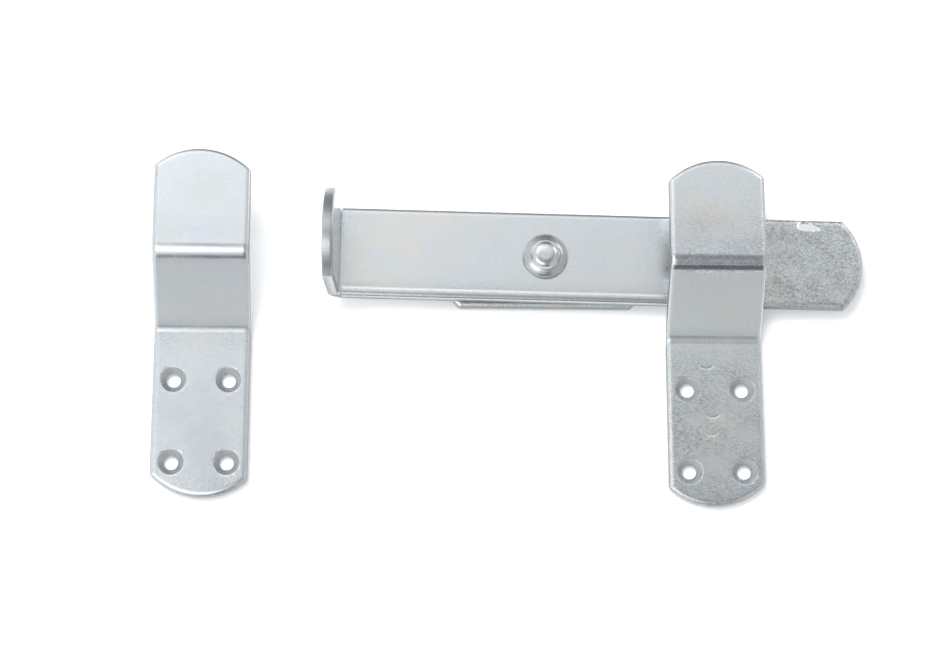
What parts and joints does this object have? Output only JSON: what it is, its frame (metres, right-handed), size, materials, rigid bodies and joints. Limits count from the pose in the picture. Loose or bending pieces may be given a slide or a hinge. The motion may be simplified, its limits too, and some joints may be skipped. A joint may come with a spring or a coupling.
{
  "type": "gate latch",
  "caption": "Kick-over gate latch: a flat pivoting steel bar with a turned-up kick lip, on a riveted back plate, with cranked screw-on keepers that its plain end drops into.",
  "frame": {"origin": "where the pivot axis meets the fixing plane, at the back of the back plate", "axes": "+X along the keepers' common line towards the bar's plain end, +Y the way the keeper hooks open (up the gate), +Z out of the gate, normal to the fixing faces, which lie in z = 0"},
  "size_m": [0.261, 0.1273, 0.0391],
  "materials": {
    "zinc_steel": "bright zinc plate, speckled, satin",
    "rivet_steel": "bright zinc plate, polished by the rivet tool"
  },
  "bodies": {
    "fixed": {"back_plate": "zinc_steel", "spacer_washer": "zinc_steel", "pivot_rivet": "rivet_steel", "keeper_left": "zinc_steel", "keeper_right": "zinc_steel"},
    "bar": {"kick_bar": "zinc_steel"}
  },
  "joints": [
    {"name": "bar_pivot", "type": "hinge", "parent": "fixed", "child": "bar", "pos_m": [0, 0, 0.0046], "axis": [0, 0, 1], "range_deg": [0, 128]}
  ]
}
